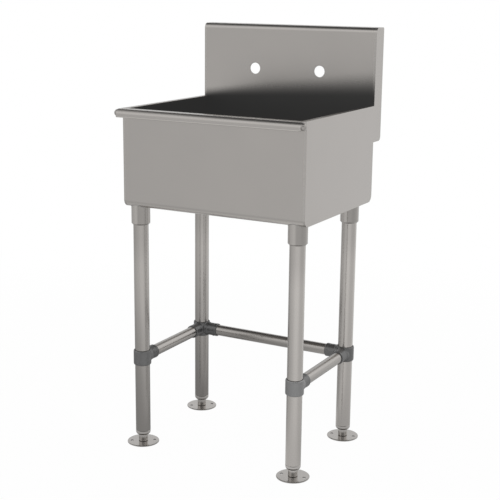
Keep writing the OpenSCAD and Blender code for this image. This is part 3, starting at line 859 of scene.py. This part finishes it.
leg = {"x": 237.0, "front": 30.0, "rear": 350.0, "r": 20.65, "wall": 1.6, "end": 36.0,
       "top": 676.7, "gusset": 25.4, "cutBack": 4.7, "weld": 1.1}
brace = {"z": 252.0, "r": 15.9, "wall": 1.5, "start": 24.8}
middleY = (leg["front"] + leg["rear"]) / 2 + shiftY
corners = [(end + hand, end.lower() + "_" + hand.lower(), side, leg[end.lower()])
           for end in ("Front", "Rear") for hand, side in (("Left", -1), ("Right", 1))]


def undersideZ(y):
    # height of the bowl's underside over the bend at the front
    b = bowl
    if y >= b["bend"]:
        return b["bottom"]
    return b["bottom"] + b["bend"] - math.sqrt(max(b["bend"] ** 2 - (b["bend"] - y) ** 2, 0))


def makeGussets(steps=72):
    for word, node, side, y in corners:
        finishNode("gusset_" + node, "gusset")
        points = []
        for px, py in arc(side * leg["x"], y, leg["gusset"], 0, 360, steps)[:-1]:
            py = max(py, leg["cutBack"])
            points.append(Vector((px, py + shiftY, undersideZ(py))) * mm)
        bead = meshFrom("gussetWeld", lambda bm: addBead(bm, points, leg["weld"]))
        newPiece("gussetWeld" + word, bead, "bead", "sink", (), 60, False)


def makeTubes():
    outline = tubeOutline(leg["r"], leg["wall"], leg["end"], leg["top"], 0.5)
    for word, node, side, y in corners:
        mesh = latheMesh("leg", outline, (side * leg["x"], y + shiftY, 0), None, 96, True)
        newPiece("leg" + word, mesh, "tube", "sink", ["leg_" + node], 35)
    depth, width = leg["rear"] - leg["front"], 2 * leg["x"]
    front, rear = leg["front"] + shiftY, leg["rear"] + shiftY
    for word, x, y, length, turn in (("Left", -leg["x"], front, depth, toY),
                                     ("Right", leg["x"], front, depth, toY),
                                     ("Rear", -leg["x"], rear, width, toX)):
        outline = tubeOutline(brace["r"], brace["wall"], brace["start"], length - brace["start"])
        mesh = latheMesh("brace", outline, (x, y, brace["z"]), turn, 64, True)
        newPiece("brace" + word, mesh, "brace", "sink", ["brace_" + word.lower()], 35)


# cast fittings

fitting = {"r": 24.5, "h": 43.0, "socket": 19.0, "reach": 58.0, "voxel": 0.8, "gap": 0.12,
           "screwAt": 41.25, "screwHole": 3.25, "mouth": 1.5, "ridge": 0.32}


def makeFitting(word, node, side, y, angles, screwAngle):
    # angles are where the sockets point, round the upright axis
    f = fitting
    h, r, s, reach = f["h"] / 2, f["r"], f["socket"], f["reach"]
    centre = Vector((side * leg["x"], y + shiftY, brace["z"]))
    legBore = leg["r"] + f["gap"]
    braceBore = brace["r"] + f["gap"]

    def collar(bm):
        upper = [(r, h - 4.0), (r - 0.5, h - 2.0), (r - 2.0, h - 0.3), (r - 3.2, h), (0, h)]
        lower = [(q, -z) for q, z in upper[::-1]]
        addLathe(bm, lower + upper, centre)

    def arm(bm, angle):
        outline = [(0, 2), (s + 1.6, 2), (s + 1.0, r + 0.6), (s + 0.2, r + 2.4), (s - 0.4, r + 5.0),
                   (s - 0.4, reach - 9.5), (s, reach - 8.7), (s, reach - 1.8), (s - 1.6, reach),
                   (0, reach)]
        addLathe(bm, outline, centre, toSide(angle), 72)
        # parting ridge left by the mould
        turn = Matrix.Rotation(math.radians(angle), 4, "Z")
        out = s + f["ridge"]
        addBox(bm, (r - 4, -out, -0.5), (reach - 1.2, out, 0.5), Matrix.Translation(centre * mm) @ turn)

    def mouths(bm):
        # the ends of the bore are opened out a little, which leaves a dark line round the leg
        wide = legBore + f["mouth"]
        for end in (-1, 1):
            outline = [(0, h - 2.6), (legBore, h - 2.6), (wide, h - 0.2), (wide, h + 2), (0, h + 2)]
            addLathe(bm, [(q, end * z) for q, z in outline], centre)

    def socket(bm, angle):
        outline = [(0, r), (braceBore, r), (braceBore, reach - 1), (braceBore + 0.8, reach + 1),
                   (0, reach + 1)]
        addLathe(bm, outline, centre, toSide(angle), 72)
        under = toSide(angle) @ Vector((0, 0, f["screwAt"]))
        addRod(bm, centre + under, f["screwHole"], -30, -10, None, 32)

    mesh = meshFrom("collar", collar)
    for angle in angles:
        mesh = joinedWith(mesh, meshFrom("arm", lambda bm: arm(bm, angle)))
    rough = scratchObject(mesh)
    remesh = rough.modifiers.new("even", "REMESH")
    remesh.mode = "VOXEL"
    remesh.voxel_size = f["voxel"] * mm
    soften = rough.modifiers.new("soften", "SMOOTH")
    soften.factor = 0.5
    soften.iterations = 2
    mesh = settled(rough, "fitting")
    below = centre - Vector((0, 0, 30))
    mesh = cutBy(mesh, rods("bore", [(below, legBore, 60, None)], 96))
    mesh = cutBy(mesh, meshFrom("mouths", mouths))
    for angle in angles:
        mesh = cutBy(mesh, meshFrom("socket", lambda bm: socket(bm, angle)))
    hole = meshFrom("screwHole", lambda bm: addRod(bm, centre, f["screwHole"], 10, 30,
                                                   toSide(screwAngle), 32))
    finish = "castFront" if y == leg["front"] else "castRear"
    newPiece(word, cutBy(mesh, hole), finish, "sink", [node], 38, False)


def makeFittings():
    makeFitting("teeFrontLeft", "tee_front_left", -1, leg["front"], [90], 180)
    makeFitting("teeFrontRight", "tee_front_right", 1, leg["front"], [90], 180)
    makeFitting("cornerRearLeft", "corner_rear_left", -1, leg["rear"], [-90, 0], 90)
    makeFitting("cornerRearRight", "corner_rear_right", 1, leg["rear"], [-90, 180], 90)


# feet

foot = {"stem": 12.7, "shoulder": 35.7, "shoulderH": 4.6, "rod": 7.95, "rodH": 58.0,
        "pitch": 25.4 / 11, "depth": 1.1, "flange": 44.45, "flangeT": 3.0, "pin": 6.35,
        "pinHead": 9.525, "anchor": 31.75, "anchorR": 4.0, "anchorEdge": 0.7}
flangeTurn = {"front_left": 34, "front_right": 6, "rear_left": 42, "rear_right": 10}


def stemOutline():
    f = foot
    stem, pin, head, top, rod = f["stem"], f["pin"], f["pinHead"], f["shoulder"], f["rod"]
    low = top - f["shoulderH"]
    flare = leg["r"] - stem
    end = top + f["rodH"]
    root = rod - f["depth"]
    outline = [(0, 0.35), (head - 0.3, 0.35), (head, 0.6), (head - 0.2, 1.0), (pin, 1.05), (pin, 3.3),
               (stem - 0.6, 3.3), (stem, 3.9), (stem, low - flare)]
    outline += arc(stem, low, flare, -82, 0, 12)
    outline += [(leg["r"], top - 0.5), (leg["r"] - 0.5, top), (rod + 0.4, top), (root, top + 1.6),
                (root, top + 2.2)]
    # thread as close rings: they read as a thread and turn without a seam
    z = top + 2.2
    while z < end - 2.6:
        outline += [(rod - 0.12, z + f["pitch"] * 0.42), (rod - 0.12, z + f["pitch"] * 0.58),
                    (root, z + f["pitch"])]
        z += f["pitch"]
    return outline + [(root, end - 1.0), (rod - 2.2, end), (0, end)]


def flangeOutline():
    f = foot
    r, t, stem = f["flange"], f["flangeT"], f["stem"]
    hole = f["pin"] + 0.09
    recess = f["pinHead"] + 0.6
    return [(recess, 0), (r - 0.7, 0), (r - 0.15, 0.35), (r, 0.9), (r, 1.7), (r - 0.3, 2.35),
            (r - 1.0, 2.8), (r - 2.2, t), (stem + 3.0, t), (stem + 2.2, t - 0.25),
            (hole, t - 0.25), (hole, 1.35), (recess, 1.35)]


def makeFoot(word, node, side, y):
    f = foot
    where = (side * leg["x"], y + shiftY, 0)
    mesh = latheMesh("footStem", stemOutline(), where, None, 64)
    newPiece("footStem" + word, mesh, "foot", "stem_" + node, ["foot_stem_" + node],
             30)
    mesh = latheMesh("footFlange", flangeOutline(), where, None, 128, True)
    a = math.radians(flangeTurn[node])
    r, t = f["anchorR"], f["flangeT"]
    spots = [(where[0] + s * f["anchor"] * math.cos(a), where[1] + s * f["anchor"] * math.sin(a))
             for s in (-1, 1)]
    mesh = cutBy(mesh, rods("anchors", [((hx, hy, -2), r, 8, None) for hx, hy in spots], 40))

    def sinks(bm):
        outline = [(0, t - 0.5), (r - 0.2, t - 0.5), (r + f["anchorEdge"], t + 0.4), (0, t + 0.4)]
        for hx, hy in spots:
            addLathe(bm, outline, (hx, hy, 0), None, 40)
    mesh = cutBy(mesh, meshFrom("sinks", sinks))
    newPiece("footFlange" + word, mesh, "flange", "flange_" + node, ["foot_flange_" + node],
             30)
    # the drilled walls are duller than the turned faces
    mesh.materials.append(finishes["drilled"])
    for face in mesh.polygons:
        for hx, hy in spots:
            gap = math.hypot(face.center.x - hx * mm, face.center.y - hy * mm)
            if gap < (r + f["anchorEdge"] + 0.05) * mm and face.normal.z < 0.9:
                face.material_index = 1
    finishNode("foot_insert_" + node, "insert")


# drain

drain = {"down": 22.0, "outlet": 24.15, "bore": 22.15, "lip": 57.0, "cupWall": 2.0,
         "basketGap": 0.6, "basketWall": 0.8, "knob": 10.45, "knobEdge": 2.4,
         # rings of holes in the basket: radius of the ring, number, radius of a hole
         "rings": ((11.0, 8, 2.1), (18.5, 14, 2.3), (26.0, 20, 2.4), (33.0, 28, 2.1))}


def makeStrainer(where, cup, low, top):
    lip, bore, outlet, cupIn = drain["lip"], drain["bore"], drain["outlet"], cup - drain["cupWall"]
    outline = [(bore, low - 16), (outlet - 0.55, low - 16), (outlet, low - 15.4),
               (outlet, low - 0.8), (outlet + 1.05, low), (cup - 3.0, low), (cup - 0.9, low + 0.9),
               (cup, low + 3.0), (cup, top), (lip - 0.8, top), (lip, top + 0.5),
               (lip - 0.6, top + 1.3), (lip - 3.5, top + 2.1), (lip - 7.5, top + 2.2),
               (cup + 0.6, top + 1.7), (cup - 1.2, top + 0.6), (cupIn, top - 1.2),
               (cupIn, low + 4.4), (cup - 2.6, low + 2.6), (cup - 4.0, low + 2.0),
               (bore + 1.85, low + 2.0), (bore + 0.45, low + 1.4), (bore, low + 0.4)]
    mesh = latheMesh("strainerBody", outline, where, None, 128, True)
    newPiece("strainerBody", mesh, "polished", "sink", ["strainer_body"], 32)


def makeBasket(where, cup, z0):
    edge = cup - drain["cupWall"] - drain["basketGap"]
    wall = drain["basketWall"]
    r = edge - 2.0
    outline = [(0, z0), (r - 3.5, z0), (r - 1.2, z0 + 0.9), (r - 0.3, z0 + 3.0), (r, z0 + 16.6),
               (edge - 0.4, z0 + 17.0), (edge, z0 + 17.5), (edge - 0.5, z0 + 18.0),
               (r - 0.4, z0 + 17.6), (r - wall, z0 + 16.6), (r - wall - 0.3, z0 + 3.2),
               (r - wall - 1.4, z0 + 1.6), (r - 3.7, z0 + wall), (0, z0 + wall)]
    mesh = latheMesh("basket", outline, where, None, 128)
    holes = []
    for ring, count, size in drain["rings"]:
        for i in range(count):
            a = 2 * pi * (i + 0.5 * (count % 4)) / count
            spot = (ring * math.cos(a), where[1] + ring * math.sin(a), z0 - 2)
            holes.append((spot, size, 5, None))
    mesh = cutBy(mesh, rods("drainHoles", holes, 20))
    newPiece("basket", mesh, "polished", "basket", ["strainer_basket"], 32)
    rounding = drain["knobEdge"]
    outline = [(0, z0 + 0.1), (3.3, z0 + 0.1), (6.2, z0 + 0.85), (6.2, z0 + 1.1), (4.4, z0 + 1.9),
               (3.4, z0 + 3.2), (2.9, z0 + 6), (2.7, z0 + 14), (3.0, z0 + 20), (4.2, z0 + 22.6),
               (7.6, z0 + 24.1)]
    outline += arc(drain["knob"] - rounding, z0 + 26.6, rounding, -70, 75, 8)
    outline += [(5.0, z0 + 29.7), (0, z0 + 30)]
    mesh = latheMesh("basketKnob", outline, where, None, 64)
    newPiece("basketKnob", mesh, "polished", "basket", ["basket_knob"], 50)


def makeDrain():
    where = (0, bowl["drainY"] + shiftY, 0)
    cup = bowl["drainHole"] - 0.1
    low = bowl["bottom"] - drain["down"]
    makeStrainer(where, cup, low, bowl["bottom"] + bowl["t"])
    makeBasket(where, cup, low + 2.3)
    for node, finish in (("strainer_gasket", "rubber"), ("friction_ring", "fibre"),
                         ("strainer_locknut", "zinc"), ("gusset_screws", "screw"),
                         ("collar_screws", "screw"), ("socket_screws", "screw")):
        finishNode(node, finish)


makeCamera()
makeStudio()
makeFloor()
makeFinishes()
print("camera, light and finishes")
makeSheet()
for makePair in (makeSide, makeCap):
    makePair(-1, "Left")
    makePair(1, "Right")
print("bowl and splash")
makeGussets()
makeTubes()
print("legs and braces")
makeFittings()
print("fittings")
for corner in corners:
    makeFoot(*corner)
makeDrain()
print("feet and drain")
